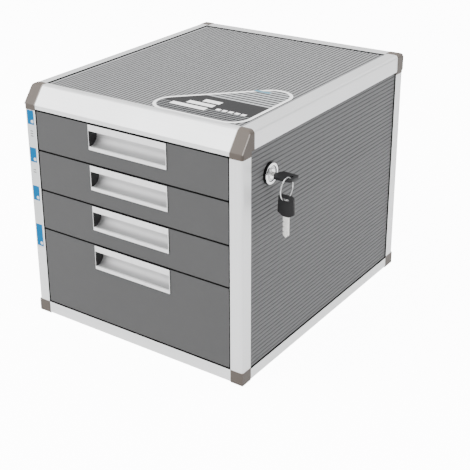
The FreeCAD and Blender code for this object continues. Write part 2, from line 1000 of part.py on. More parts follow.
def right_liner():
    """The right-hand liner with its openings for the lock and the lock bar."""
    bar_hole = box(
        (inward(bar_outer - bar_clearance), inward(bar_inner + bar_clearance)),
        (bar_front - bar_clearance, bar_back + bar_clearance),
        (bottom_side_rise, cabinet_height),
    )
    keeper_low, keeper_high = ledge_heights(0)[1]
    lock_room = box(
        (inward(liner_inner), inward(bar_inner + bar_clearance)),
        (lock_y - lock_nut_radius - overrun, bar_back + bar_clearance),
        (keeper_low - overrun, keeper_high + overrun),
    )
    return cut(liner(), [bar_hole, lock_room, lock_hole(0, liner_inner + overrun)])


def liner_screws():
    screws = []
    front_seat = behind(front_post_depth + liner_tab_thickness)
    back_seat = ahead(back_post_depth + liner_tab_thickness)
    for height in liner_screw_heights():
        front_screw = screw(across_y, liner_screw_x, height, front_seat, -1)
        back_screw = screw(across_y, liner_screw_x, height, back_seat, 1)
        screws += [front_screw, back_screw, mirrored(front_screw), mirrored(back_screw)]
    return Part.makeCompound(screws)


# Lock

def lock_rod(start, end, radius):
    """A cylinder on the lock's axis, between two depths inside the right face."""
    return rod(across_x, lock_y, lock_height, inward(start), inward(end), radius)


def lock_cone(start, end, start_radius, end_radius):
    return cone(across_x, lock_y, lock_height, inward(start), inward(end), start_radius, end_radius)


def lock_body():
    bevel_end = bezel_face + bezel_bevel
    bezel = fuse([
        lock_cone(bezel_face, bevel_end, bezel_radius - bezel_bevel, bezel_radius),
        lock_rod(bevel_end, panel_outer, bezel_radius),
        lock_rod(panel_outer - overrun, body_end, lock_body_radius),
    ])
    dish = lock_cone(
        bezel_face - overrun, bezel_face + bezel_dish_depth,
        bezel_dish_radius + overrun, bezel_dish_radius - bezel_dish_depth,
    )
    bore = lock_rod(bezel_face - overrun, body_end + overrun, plug_radius + plug_clearance)
    return cut(bezel, [dish, bore])


def hexagon(centre_u, centre_v, radius):
    corners = []
    for number in range(6):
        angle = math.tau * number / 6
        corners.append((centre_u + radius * math.cos(angle), centre_v + radius * math.sin(angle), 0))
    return corners


def lock_nut():
    nut_end = liner_inner + lock_nut_thickness
    nut = prism(hexagon(lock_y, lock_height, lock_nut_radius), across_x, inward(nut_end), inward(liner_inner))
    return nut.cut(lock_rod(0, nut_end + overrun, lock_body_radius + screw_clearance))


def key_slot(extra):
    """Outline of the key's blade across the lock, grown by some room."""
    half_width = key_width / 2 + extra
    half_thickness = key_thickness / 2 + extra
    y_span = (lock_y - half_width, lock_y + half_width)
    return rectangle(y_span, (lock_height - half_thickness, lock_height + half_thickness))


def lock_plug():
    face = bezel_face - plug_proud
    plug = fuse([
        lock_cone(face, face + plug_bevel, plug_radius - plug_bevel, plug_radius),
        lock_rod(face + plug_bevel, cam_start, plug_radius),
    ])
    slot_end = inward(face + key_insertion + key_slot_clearance)
    slot = prism(key_slot(key_slot_clearance), across_x, slot_end, inward(face - overrun))
    hole_start = cam_end - cam_screw_length - overrun
    screw_room = lock_rod(hole_start, cam_start + overrun, cam_screw_radius + screw_clearance)
    return cut(plug, [slot, screw_room])


def cam_pin_place():
    return lock_y + cam_reach, lock_height - cam_reach


def lock_cam():
    """A short lever on the back of the plug; its pin lifts the lock bar."""
    pin_y, pin_z = cam_pin_place()
    start, end = inward(cam_end), inward(cam_start)
    hub = rod(across_x, lock_y, lock_height, start, end, cam_width / 2)
    tip = rod(across_x, pin_y, pin_z, start, end, cam_width / 2)
    half = cam_width / 2
    arm_flat = Part.makeBox(end - start, cam_throw, cam_width, Vector(start, lock_y, lock_height - half))
    arm_flat.rotate(Vector(start, lock_y, lock_height), Vector(1, 0, 0), -cam_start_angle)
    pin = rod(across_x, pin_y, pin_z, inward(bar_inner + cam_pin_extra), end, cam_pin_radius)
    hole = lock_rod(cam_start - overrun, cam_end + overrun, cam_screw_radius + screw_clearance)
    return cut(fuse([hub, arm_flat, tip, pin]), [hole])


def cam_screw():
    head_end = cam_end + cam_screw_head_height
    shank = lock_rod(cam_end - cam_screw_length, cam_end, cam_screw_radius)
    head = lock_rod(cam_end, head_end, cam_screw_head_radius)
    half = driver_slot_width / 2
    run = cam_screw_head_radius + overrun
    slot = box(
        (inward(head_end - driver_slot_depth), inward(head_end + overrun)),
        (lock_y - run, lock_y + run), (lock_height - half, lock_height + half),
    )
    return cut(fuse([shank, head]), [slot])


def lock_bar():
    """An upright bar with a slot for the cam's pin and a hook for each drawer."""
    low = tray_bottom(drawer_count - 1) + hook_offset - bar_end_margin
    high = tray_bottom(0) + hook_offset + hook_height + bar_end_margin
    bar_x = (inward(bar_outer), inward(bar_inner))
    pieces = [box(bar_x, (bar_front, bar_back), (low, high))]
    for index in range(drawer_count):
        hook_low = tray_bottom(index) + hook_offset
        hook_x = (inward(bar_outer), inward(bar_inner + hook_reach))
        pieces.append(box(hook_x, (bar_back - hook_width, bar_back), (hook_low, hook_low + hook_height)))
    pin_z = cam_pin_place()[1]
    room = cam_pin_radius + slot_clearance
    slot = box(
        (inward(bar_outer - overrun), inward(bar_inner + overrun)),
        (lock_y + cam_reach - room, lock_y + cam_throw + room), (pin_z - room, pin_z + room),
    )
    return cut(fuse(pieces), [slot])


# Keys; the first is in the lock and the spare hangs on the ring


def key_head(place, u, v, shoulder, direction):
    """A moulded key head from its shoulder on, flat across the third way of the place."""
    half = key_head_width / 2
    end_half = key_head_end_width / 2
    neck = key_width / 2
    far = shoulder + direction * key_head_length
    wide = shoulder + direction * key_head_shoulder
    thick = key_head_thickness / 2
    outer = [
        (shoulder, u - neck, 0),
        (wide, u - half, key_head_edge_radius),
        (far, u - end_half, key_head_round),
        (far, u + end_half, key_head_round),
        (wide, u + half, key_head_edge_radius),
        (shoulder, u + neck, 0),
    ]
    head = prism(outer, place, v - thick, v + thick)
    hole_middle = far - direction * key_hole_from_end
    hole_half_width = key_hole_width / 2
    hole_half_length = key_hole_length / 2
    hole = prism(
        rectangle(
            (hole_middle - hole_half_width, hole_middle + hole_half_width),
            (u - hole_half_length, u + hole_half_length), hole_half_width * key_hole_round_share,
        ),
        place, v - thick - overrun, v + thick + overrun,
    )
    room = key_tang_clearance
    tang_half = key_tang_width / 2 + room
    tang_thick = key_tang_thickness / 2 + room
    tang_end = shoulder + direction * (key_tang_length + room)
    pocket = prism(
        rectangle((shoulder - direction * overrun, tang_end), (u - tang_half, u + tang_half)),
        place, v - tang_thick, v + tang_thick,
    )
    return cut(head, [hole, pocket])


def key_blade(place, u, v, shoulder, direction, length):
    """A flat steel blade with bites along one edge and a thinner tang inside the head."""
    half = key_width / 2
    thick = key_thickness / 2
    tip = shoulder - direction * length
    blade = prism(
        [
            (shoulder, u - half, 0),
            (tip + direction * half, u - half, 0),
            (tip, u, 0),
            (tip + direction * half, u + half, 0),
            (shoulder, u + half, 0),
        ],
        place, v - thick, v + thick,
    )
    tang_half = key_tang_width / 2
    tang_thick = key_tang_thickness / 2
    tang = prism(
        rectangle((shoulder, shoulder + direction * key_tang_length), (u - tang_half, u + tang_half)),
        place, v - tang_thick, v + tang_thick,
    )
    bites = []
    toothed = length - key_shoulder - half
    for number in range(key_bite_count):
        middle = shoulder - direction * (key_shoulder + toothed * (number + 1 / 2) / key_bite_count)
        reach = key_bite_depth
        edge = u - half
        notch = [
            (middle - reach, edge - overrun, 0),
            (middle, edge + reach, 0),
            (middle + reach, edge - overrun, 0),
        ]
        bites.append(prism(notch, place, v - thick - overrun, v + thick + overrun))
    return cut(fuse([blade, tang]), bites)


def across_spare(along, sideways, flat):
    """The spare key's own directions: along it is up, its flat faces look along Y."""
    return Vector(key_hole_x + sideways, flat, along)


def key_ring():
    return Part.makeTorus(ring_radius, ring_wire_radius, Vector(key_hole_x, ring_y, ring_z), Vector(1, 0, 0))


# Stickers

def top_label():
    """A rounded triangular sticker on the top panel's ribs, near the front right corner."""
    x = inward(top_side_width + label_side_gap)
    y = behind(top_front_depth + label_front_gap)
    corners = [
        (x, y, label_front_round),
        (x, y + label_length, label_far_round),
        (x - label_length, y, label_far_round),
    ]
    low = down(panel_outer)
    return prism(corners, across_z, low, low + label_thickness)


def post_strip():
    """A narrow film strip down the front of the left post."""
    x = strip_inset - right
    z_high = down(top_front_corner_drop + strip_top_gap)
    return box((x, x + strip_width), (behind(-strip_thickness), behind(0)), (z_high - strip_length, z_high))


# The whole cabinet

def cabinet():
    """Every piece by name."""
    pieces = {
        "top_front_rail": top_front_rail(),
        "top_back_rail": top_back_rail(),
        "bottom_front_rail": bottom_front_rail(),
        "bottom_back_rail": bottom_back_rail(),
        "top_panel": top_panel(),
        "bottom_panel": bottom_panel(),
        "back_panel": back_panel(),
        "left_side_panel": mirrored(side_panel()),
        "right_side_panel": right_side_panel(),
        "left_liner": mirrored(liner()),
        "right_liner": right_liner(),
        "liner_screws": liner_screws(),
        "lock_body": lock_body(),
        "lock_nut": lock_nut(),
        "lock_plug": lock_plug(),
        "lock_cam": lock_cam(),
        "cam_screw": cam_screw(),
        "lock_bar": lock_bar(),
        "key_blade": key_blade(across_z, lock_y, lock_height, key_shoulder_x, 1, key_blade_length),
        "key_head": key_head(across_z, lock_y, lock_height, key_shoulder_x, 1),
        "key_ring": key_ring(),
        "spare_key_blade": key_blade(across_spare, 0, ring_y, spare_shoulder_z, 1, spare_blade_length),
        "spare_key_head": key_head(across_spare, 0, ring_y, spare_shoulder_z, 1),
        "top_label": top_label(),
        "post_strip": post_strip(),
    }
    paired = {
        "top_side_rail": top_side_rail,
        "bottom_side_rail": bottom_side_rail,
        "front_post": front_post,
        "back_post": back_post,
        "top_front_corner": top_front_corner,
        "top_back_corner": top_back_corner,
        "bottom_front_corner": bottom_front_corner,
        "bottom_back_corner": bottom_back_corner,
    }
    for name, build in paired.items():
        pieces["right_" + name] = build()
        pieces["left_" + name] = mirrored(pieces["right_" + name])
    for index in range(drawer_count):
        drawer = "drawer_%d_" % (index + 1)
        pieces[drawer + "tray"] = tray(index)
        pieces[drawer + "front"] = drawer_front(index)
        pieces[drawer + "pull"] = drawer_pull(index)
        pieces[drawer + "screws"] = drawer_screws(index)
    return pieces


os.makedirs("parts", exist_ok=True)
for piece_name, piece_shape in cabinet().items():
    for piece_solid in piece_shape.Solids:
        if not piece_solid.isValid():
            print(piece_name, "has a solid that isn't valid")
    print(piece_name, len(piece_shape.Solids), round(piece_shape.Volume, 1))
    piece_shape.exportStep("parts/%s.step" % piece_name)
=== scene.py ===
"""Looks of the desktop file drawer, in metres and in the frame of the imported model.

The front faces -Y, +X is to the right of someone facing the front, +Z is up.
"""
import json
import math

import bmesh
import bpy
from mathutils import Matrix, Vector

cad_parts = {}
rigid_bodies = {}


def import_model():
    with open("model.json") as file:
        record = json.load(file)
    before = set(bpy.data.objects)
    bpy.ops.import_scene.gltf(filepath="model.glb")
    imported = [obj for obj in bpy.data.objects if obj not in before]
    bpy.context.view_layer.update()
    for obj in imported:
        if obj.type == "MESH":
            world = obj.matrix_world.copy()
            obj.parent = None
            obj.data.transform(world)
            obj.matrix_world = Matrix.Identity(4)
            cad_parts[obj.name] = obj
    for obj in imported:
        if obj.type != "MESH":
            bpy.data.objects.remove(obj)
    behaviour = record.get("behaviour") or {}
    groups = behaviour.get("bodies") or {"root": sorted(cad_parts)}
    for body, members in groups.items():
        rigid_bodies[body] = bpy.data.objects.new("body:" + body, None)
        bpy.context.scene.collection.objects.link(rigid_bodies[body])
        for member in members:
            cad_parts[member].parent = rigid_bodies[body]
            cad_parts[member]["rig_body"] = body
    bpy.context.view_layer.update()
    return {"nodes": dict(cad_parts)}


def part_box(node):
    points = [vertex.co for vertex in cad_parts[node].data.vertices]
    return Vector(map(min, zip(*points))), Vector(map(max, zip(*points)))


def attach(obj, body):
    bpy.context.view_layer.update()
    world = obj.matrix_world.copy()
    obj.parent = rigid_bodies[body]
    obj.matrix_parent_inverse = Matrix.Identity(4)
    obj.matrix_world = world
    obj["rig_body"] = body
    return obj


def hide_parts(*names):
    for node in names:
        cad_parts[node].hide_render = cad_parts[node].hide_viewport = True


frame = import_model()

# Camera, fitted to the photograph
image_side = 470.0
camera_focal = 1043.2
camera_centre = (200.0, 170.0)
camera_place = (0.6838, -0.9761, 0.6428)
camera_azimuth = 36.31
camera_elevation = 22.03
camera_roll = -0.97
sensor_width = 36.0

# Studio; a softbox is given by name, place, size and power
floor_size = 8.0
floor_drop = 0.0002
floor_colour = (0.93, 0.93, 0.935)
floor_roughness = 0.8
floor_glow = 12.0
reflector_glow = 1.1
world_colour = (1.0, 1.0, 1.0)
world_strength = 0.98
backdrop_glow = 12.0
light_target = (0, 0, 0.14)
softboxes = (
    ("Overhead softbox", (0.2, -0.1, 2.2), 2.0, 52),
    ("Front left softbox", (-1.7, -2.0, 1.9), 2.2, 95),
    ("Back right softbox", (0.9, 2.2, 1.2), 0.9, 6),
)

# Making of the pieces; a facing share is the least part of a face's normal along a way that it faces
weld_distance = 0.000002
flat_angle = math.radians(0.3)
sharp_angle = math.radians(28)
smooth_angle = math.radians(32)
facing_share = 0.9
half_facing_share = 0.5
leaning_share = 0.2
round_profile = 0.5
round_steps = 3
large_round_steps = 4
ridge_round_steps = 2
ring_steps = 96
ring_section_points = 20
drawer_count = 4

# Ribbed panels
panel_thickness = 0.0025
side_rib_depth = 0.0008
top_rib_depth = 0.0010
# faces sunk this far into a groove get a darker finish: painted shade in the grooves
groove_shade_share = 0.45
groove_shade_foot_share = 1.01
side_rib_pitch = 0.0049
top_rib_pitch = 0.00505
steps_per_rib = 10
rib_margin = 0.0045
hole_room = 0.0002
panel_bite = 0.0027
# a strip this wide along each panel's edge is painted near-black: painted shade where the panel meets the
# frame
shade_strip_width = 0.0012
shade_strip_step = 0.0002
side_rib_sharpness = 4.5
top_rib_sharpness = 1.0

# Drawers
front_edge_round = 0.0006
front_side_round = 0.0014
pocket_edge_round = 0.0011
# faces further than this behind a drawer's face are painted near-black: painted shade in the gaps
gap_shade_depth = 0.00008
pull_edge_round = 0.0003
# the cheeks at the ends of a pull's scoop are painted dark: painted shade in the recess
cheek_inset = 0.0025
scoop_start = 0.0010
# tones of a scoop's painted shade at its foot and painted light at its head
scoop_shade_shares = (0.38, 1.08)
tray_floor_round = 0.0025
tray_edge_round = 0.0006
tray_floor_height = 0.002

# Corners, extrusions and small parts
corner_edge_round = 0.0007
ridge_round = 0.0009
rail_edge_round = 0.0004
# the lips beside the panels are painted near-black within this reach: painted shade of the grooves
lip_shade_reach = 0.0004
small_edge_round = 0.0002
key_edge_round = 0.0005

# Lock
bezel_radius = 0.0122
bezel_round = 0.0014
bezel_round_steps = 5
bezel_rim_radius = 0.0090
dish_radius = 0.0082
dish_depth = 0.0008
plug_bore_radius = 0.00545
barrel_radius = 0.008
barrel_length = 0.0108
thread_pitch = 0.001
thread_depth = 0.0004
bezel_thickness = 0.0034
bezel_side_share = 0.75

# Sticker and film strip; a bar is given by x, y, length and width, a block by its head and its foot
label_border = 0.0038
far_hatch_pitch = 0.0066
far_line_share = 0.55
far_hatch_start = -0.090
near_hatch_pitch = 0.0048
near_line_share = 0.16
near_hatch_end = -0.1285
print_rise = 0.00003
dot_sides = 32
print_bars = (
    (0.048, -0.130, 0.046, 0.0080),
    (0.056, -0.118, 0.034, 0.0080),
    (0.063, -0.106, 0.022, 0.0080),
    (0.083, -0.124, 0.0055, 0.0050),
    (0.091, -0.124, 0.0055, 0.0050),
    (0.099, -0.124, 0.0055, 0.0050),
    (0.107, -0.124, 0.0055, 0.0050),
    (0.115, -0.124, 0.0055, 0.0050),
)
accent_bar = (0.089, -0.047, 0.020, 0.0050)
strip_block_span = (-0.1470, -0.1370)
strip_corner_round = 0.0016
strip_blocks = ((0.2632, 0.2450), (0.2165, 0.1985), (0.1685, 0.1500), (0.1190, 0.0905))
block_dot_offset = (0.0072, 0.0038)
block_dot_radius = 0.0021
dash_size = (0.0042, print_rise, 0.0011)
dash_x = -0.1415
dash_heights = (0.2370, 0.2340, 0.2310, 0.1890, 0.1860)

# Grain and tone of the finishes, with scales in patches to the metre
noise_span = (0.3, 0.7)
fine_detail = 2.0
line_detail = 3.0
cloud_detail = 5.0
die_line_scale = 900.0
die_line_stretch = 4.0
die_line_depth = 0.00002
die_line_strength = 0.35
die_line_shares = (0.975, 1.015)
satin_scale = 14.0
satin_roughness_span = (0.38, 0.46)
plastic_grain_scale = 2600.0
plastic_grain_depth = 0.00004
plastic_grain_strength = 0.5
plastic_cloud_scale = 22.0
plastic_cloud_roughness = 0.6
plastic_shares = (0.955, 1.035)
plastic_sheen_span = (-0.05, 0.06)
scratch_scale = 3200.0
scratch_strength = 0.3
tarnish_scale = 180.0
tarnish_shares = (0.93, 1.04)
wear_shares = (0.75, 1.35)

# Anodised aluminium and silver paint
aluminium_colour = (0.86, 0.865, 0.87)
aluminium_roughness = 0.42
aluminium_metallic = 0.6
silver_colour = (0.92, 0.92, 0.925)
silver_roughness = 0.5
silver_metallic = 0.6
silver_scratch_depth = 0.00001
scoop_metallic = 0.5

# Plastics and films: name, colour, roughness and shine
plastics = {
    "corner": ("Warm grey corner plastic", (0.115, 0.097, 0.084), 0.42, 0.2),
    # the lighter corner ridge finish is a painted highlight
    "corner_ridge_highlight": ("Painted highlight on corner ridges", (0.34, 0.31, 0.285), 0.3, 0.2),
    # the near-black of the frame's lips is painted shade of the grooves beside the panels
    "frame_groove_shade": ("Painted shade of frame grooves", (0.005, 0.005, 0.005), 0.8, 0.02),
    "panel_crest": ("Ribbed panel grey", (0.175, 0.176, 0.179), 0.5, 0.2),
    # the darker groove finishes of the panels are painted shade in the ribs' grooves
    "panel_groove_shade": ("Ribbed panel painted groove shade", (0.128, 0.129, 0.132), 0.6, 0.1),
    # the near-black panel edge finish is painted shade beside the frame
    "panel_edge_shade": ("Painted shade along panel edges", (0.005, 0.005, 0.005), 0.8, 0.02),
    "top_crest": ("Top panel grey", (0.285, 0.287, 0.292), 0.42, 0.4),
    "top_groove_shade": ("Top panel painted groove shade", (0.095, 0.096, 0.098), 0.6, 0.1),
    "base": ("Base panel plastic", (0.20, 0.20, 0.205), 0.6, 0.2),
    "front": ("Painted drawer front", (0.096, 0.096, 0.097), 0.5, 0.2),
    # the near-black of the drawer fronts' sides is painted shade for the gaps between parts
    "front_gap_shade": ("Painted gap shade on drawer sides", (0.010, 0.010, 0.010), 0.8, 0.02),
    # the dark cheek finish is painted shade inside the pull's recess
    "cheek": ("Painted shade on pull cheeks", (0.025, 0.025, 0.026), 0.45, 0.2),
    "tray": ("Tray plastic", (0.17, 0.172, 0.178), 0.55, 0.2),
    "runner": ("Runner plastic", (0.10, 0.10, 0.105), 0.5, 0.2),
    "key_head": ("Black key plastic", (0.014, 0.014, 0.015), 0.35, 0.2),
    "label_white": ("Label white", (1.0, 1.0, 1.0), 0.6, 0.2),
    "label_dark": ("Label dark print", (0.035, 0.035, 0.036), 0.6, 0.1),
    "label_light": ("Label light print", (0.42, 0.43, 0.44), 0.6, 0.1),
    "label_accent": ("Label pale blue print", (0.12, 0.26, 0.34), 0.6, 0.1),
    "film": ("Film", (0.84, 0.86, 0.87), 0.15, 0.2),
    "film_blue": ("Film blue print", (0.0, 0.17, 0.42), 0.4, 0.03),
    "film_grey": ("Film grey print", (0.22, 0.22, 0.225), 0.4, 0.1),
}

# Plated and polished metals: name, colour, roughness and depth of the scratches
metals = {
    "chrome": ("Chrome", (0.86, 0.865, 0.87), 0.1, 0.000005),
    # the dark chrome is a painted dark reflection for the bezel's side
    "chrome_side_dark_reflection": ("Painted dark reflection on chrome side", (0.02, 0.02, 0.021), 0.3, 0.000005),
    "brushed": ("Brushed dish", (0.50, 0.505, 0.51), 0.3, 0.00001),
    "screws": ("Zinc plated screws", (0.62, 0.625, 0.63), 0.35, 0.00001),
    "zinc": ("Zinc plated parts", (0.62, 0.625, 0.63), 0.35, 0.00001),
    "blade": ("Key steel", (0.66, 0.65, 0.63), 0.25, 0.00001),
    "wire": ("Ring wire", (0.62, 0.625, 0.63), 0.2, 0.000005),
}


# Materials

def new_finish(name, colour, roughness, metallic=0.0, shine=0.5):
    """A material with its shader set, ready for more nodes."""
    finish = bpy.data.materials.new(name)
    finish.use_nodes = True
    shader = finish.node_tree.nodes["Principled BSDF"]
    shader.inputs["Base Color"].default_value = (*colour, 1)
    shader.inputs["Roughness"].default_value = roughness
    shader.inputs["Metallic"].default_value = metallic
    shader.inputs["Specular IOR Level"].default_value = shine
    return finish


def add_node(finish, kind, **values):
    """A new node, with its properties and its sockets' values set by name."""
    node = finish.node_tree.nodes.new(kind)
    for name, value in values.items():
        socket = node.inputs.get(name.replace("_", " ").title())
        if socket is None:
            setattr(node, name, value)
        else:
            socket.default_value = value
    return node


def join(finish, source, target):
    finish.node_tree.links.new(source, target)


def shader_of(finish):
    return finish.node_tree.nodes["Principled BSDF"]


def place_on(finish, stretch=(1, 1, 1)):
    """Object coordinates, in metres, stretched along each way."""
    coordinates = add_node(finish, "ShaderNodeTexCoord")
    mapping = add_node(finish, "ShaderNodeMapping")
    mapping.inputs["Scale"].default_value = stretch
    join(finish, coordinates.outputs["Object"], mapping.inputs["Vector"])
    return mapping.outputs["Vector"]


def noise(finish, vector, scale, detail, roughness=0.5):
    """A noise between 0 and 1; scale is in patches to the metre."""
    node = add_node(finish, "ShaderNodeTexNoise", scale=scale, detail=detail, roughness=roughness)
    join(finish, vector, node.inputs["Vector"])
    return node.outputs["Fac"]


def spread(finish, value, target, source=noise_span):
    """A value in one range spread over another."""
    node = add_node(finish, "ShaderNodeMapRange")
    node.inputs["From Min"].default_value = source[0]
    node.inputs["From Max"].default_value = source[1]
    node.inputs["To Min"].default_value = target[0]
    node.inputs["To Max"].default_value = target[1]
    join(finish, value, node.inputs["Value"])
    return node.outputs["Result"]


def shaded(colour, factor):
    return tuple(channel * factor for channel in colour) + (1,)


def mottle(finish, value, colour, tone_shares):
    """Lets the base colour wander between a darker and a lighter tone."""
    ramp = add_node(finish, "ShaderNodeValToRGB")
    for stop, position, share in zip(ramp.color_ramp.elements, noise_span, tone_shares):
        stop.position = position
        stop.color = shaded(colour, share)
    join(finish, value, ramp.inputs["Fac"])
    join(finish, ramp.outputs["Color"], shader_of(finish).inputs["Base Color"])


def emboss(finish, value, depth, strength):
    """Turns a value into relief of a depth in metres."""
    bump = add_node(finish, "ShaderNodeBump", strength=strength, distance=depth)
    join(finish, value, bump.inputs["Height"])
    join(finish, bump.outputs["Normal"], shader_of(finish).inputs["Normal"])


def anodised_aluminium(name, axis):
    """Satin aluminium with faint die lines along the extrusion."""
    finish = new_finish(name, aluminium_colour, aluminium_roughness, metallic=aluminium_metallic)
    stretch = [die_line_scale] * 3
    stretch[axis] = die_line_stretch
    lines = noise(finish, place_on(finish, stretch), 1, line_detail)
    clouds = noise(finish, place_on(finish), satin_scale, line_detail)
    mottle(finish, lines, aluminium_colour, die_line_shares)
    sheen = spread(finish, clouds, satin_roughness_span)
    join(finish, sheen, shader_of(finish).inputs["Roughness"])
    emboss(finish, lines, die_line_depth, die_line_strength)
    return finish


def moulded_plastic(kind):
    """Plastic with a fine moulded grain, a slight mottle and an uneven sheen."""
    name, colour, roughness, shine = plastics[kind]
    finish = new_finish(name, colour, roughness, shine=shine)
    place = place_on(finish)
    grain = noise(finish, place, plastic_grain_scale, fine_detail)
    clouds = noise(finish, place, plastic_cloud_scale, cloud_detail, plastic_cloud_roughness)
    mottle(finish, clouds, colour, plastic_shares)
    sheen = spread(finish, clouds, [roughness + step for step in plastic_sheen_span])
    join(finish, sheen, shader_of(finish).inputs["Roughness"])
    emboss(finish, grain, plastic_grain_depth, plastic_grain_strength)
    return finish


def scratched(name, colour, roughness, scratch_depth, metallic=1.0):
    """Polished, plated or painted metal with fine scratches and slight tarnish."""
    finish = new_finish(name, colour, roughness, metallic=metallic)
    place = place_on(finish)
    scratches = noise(finish, place, scratch_scale, fine_detail)
    clouds = noise(finish, place, tarnish_scale, cloud_detail)
    mottle(finish, clouds, colour, tarnish_shares)
    wear = spread(finish, clouds, [roughness * share for share in wear_shares])
    join(finish, wear, shader_of(finish).inputs["Roughness"])
    emboss(finish, scratches, scratch_depth, scratch_strength)
    return finish


def metal(kind):
    """A bare metal from the table of metals."""
    return scratched(*metals[kind])


def shaded_scoop_paint(name, foot, head):
    """Silver paint with painted shade towards the foot of a scoop and painted light towards its head."""
    finish = new_finish(name, silver_colour, silver_roughness, metallic=scoop_metallic)
    place = place_on(finish)
    heights = add_node(finish, "ShaderNodeSeparateXYZ")
    join(finish, place, heights.inputs["Vector"])
    # the colour rises with height: painted shade at the foot, painted light at the head
    rise = spread(finish, heights.outputs["Z"], noise_span, (foot, head))
    mottle(finish, rise, silver_colour, scoop_shade_shares)
    emboss(finish, noise(finish, place, scratch_scale, fine_detail), silver_scratch_depth, scratch_strength)
    return finish


# Making of pieces

def merged_copy(node):
    """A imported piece's skin with its points merged and its flat faces made whole."""
    shape = bmesh.new()
    shape.from_mesh(frame["nodes"][node].data)
    bmesh.ops.remove_doubles(shape, verts=shape.verts, dist=weld_distance)
    bmesh.ops.dissolve_limit(shape, angle_limit=flat_angle, verts=shape.verts, edges=shape.edges)
    for face in shape.faces:
        face.material_index = 0
    return shape


def sharp_edges(shape):
    """The edges where two faces meet at an angle."""
    return [
        edge for edge in shape.edges
        if len(edge.link_faces) == 2 and edge.calc_face_angle() > sharp_angle
    ]


def soften(shape, edges, width, segments=round_steps, material=-1, clamp=True):
    """Rounds edges by a width."""
    bmesh.ops.bevel(
        shape, geom=edges, offset=width, offset_type="OFFSET", segments=segments,
        profile=round_profile, affect="EDGES", material=material, clamp_overlap=clamp,
    )


def finish_piece(shape, name, nodes, finishes):
    """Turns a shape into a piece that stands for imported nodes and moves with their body."""
    mesh = bpy.data.meshes.new(name)
    shape.to_mesh(mesh)
    shape.free()
    for finish in finishes:
        mesh.materials.append(finish)
    mesh.shade_smooth()
    mesh.set_sharp_from_angle(angle=smooth_angle)
    piece = bpy.data.objects.new(name, mesh)
    bpy.context.scene.collection.objects.link(piece)
    even = piece.modifiers.new("Even shading", "WEIGHTED_NORMAL")
    even.keep_sharp = True
    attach(piece, frame["nodes"][nodes[0]]["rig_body"])
    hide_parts(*nodes)


def softened_piece(node, width, finish):
    """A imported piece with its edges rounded."""
    shape = merged_copy(node)
    soften(shape, sharp_edges(shape), width)
    finish_piece(shape, "soft_" + node, [node], [finish])


def applied(piece):
    """Fixes a piece's modifiers into its mesh."""
    graph = bpy.context.evaluated_depsgraph_get()
    mesh = bpy.data.meshes.new_from_object(piece.evaluated_get(graph))
    piece.modifiers.clear()
    piece.data = mesh


def cut_across(shape, faces, place, way):
    """Cuts faces along a plane."""
    around = set(faces)
    for face in faces:
        around.update(face.edges)
        around.update(face.verts)
    bmesh.ops.bisect_plane(shape, geom=list(around), dist=weld_distance, plane_co=place, plane_no=way)


def cut_with(shape, cutter_shape):
    """Takes one shape out of another and gives the result."""
    parts = []
    for part in (shape, cutter_shape):
        mesh = bpy.data.meshes.new("Cut")
        part.to_mesh(mesh)
        part.free()
        parts.append(bpy.data.objects.new("Cut", mesh))
        bpy.context.scene.collection.objects.link(parts[-1])
    piece, cutter = parts
    cut = piece.modifiers.new("Cut", "BOOLEAN")
    cut.operation = "DIFFERENCE"
    cut.solver = "EXACT"
    cut.object = cutter
    applied(piece)
    result = bmesh.new()
    result.from_mesh(piece.data)
    bpy.data.objects.remove(piece)
    bpy.data.objects.remove(cutter)
    return result


# Ribbed panels

def ribbed_sheet(length, width, pitch, depth, sharpness):
    """A sheet with rounded grooves across its length, its crests at zero height and its back flat; the deeper
    faces of its grooves are painted darker and a strip along its edges near-black, as painted shade.
    """
    shape = bmesh.new()
    steps = int(length / pitch * steps_per_rib)
    bmesh.ops.create_grid(shape, x_segments=steps, y_segments=1, size=0.5)
    bmesh.ops.scale(shape, vec=(length, width, 1), verts=shape.verts)
    count = int((length - 2 * rib_margin) / pitch)
    reach = count * pitch / 2
    shade_strip_edge = width / 2 - panel_bite - shade_strip_width
    for place in (-shade_strip_edge, shade_strip_step - shade_strip_edge, shade_strip_edge - shade_strip_step, shade_strip_edge):
        cut_across(shape, shape.faces[:], (0, place, 0), (0, 1, 0))
    front = list(shape.faces)
    raised = bmesh.ops.extrude_face_region(shape, geom=front, use_keep_orig=True)
    back = [item for item in raised["geom"] if isinstance(item, bmesh.types.BMVert)]
    bmesh.ops.translate(shape, vec=(0, 0, -panel_thickness), verts=back)
    behind = set(back)
    for vertex in shape.verts:
        if vertex not in behind and abs(vertex.co.x) < reach and abs(vertex.co.y) < shade_strip_edge - shade_strip_step / 2:
            phase = (vertex.co.x + reach) / pitch
            vertex.co.z -= depth * (0.5 - 0.5 * math.cos(math.tau * phase)) ** sharpness
    for face in shape.faces:
        middle = face.calc_center_median()
        sunk = -middle.z / depth
        from_edge = min(length / 2 - abs(middle.x), width / 2 - abs(middle.y))
        # the strip along the edges gets the near-black finish: painted shade beside the frame
        if from_edge < panel_bite + shade_strip_width:
            face.material_index = 2
        # faces down in the grooves get the darker finish: painted shade
        elif groove_shade_share < sunk < groove_shade_foot_share:
            face.material_index = 1
    bmesh.ops.recalc_face_normals(shape, faces=shape.faces)
    return shape


def set_upright(shape, across, along, outward, centre):
    """Turns a sheet so that its length, width and height run along given ways, round a centre."""
    turn = Matrix((across, along, outward)).transposed().to_4x4()
    bmesh.ops.transform(shape, matrix=Matrix.Translation(centre) @ turn, verts=shape.verts)
    bmesh.ops.recalc_face_normals(shape, faces=shape.faces)


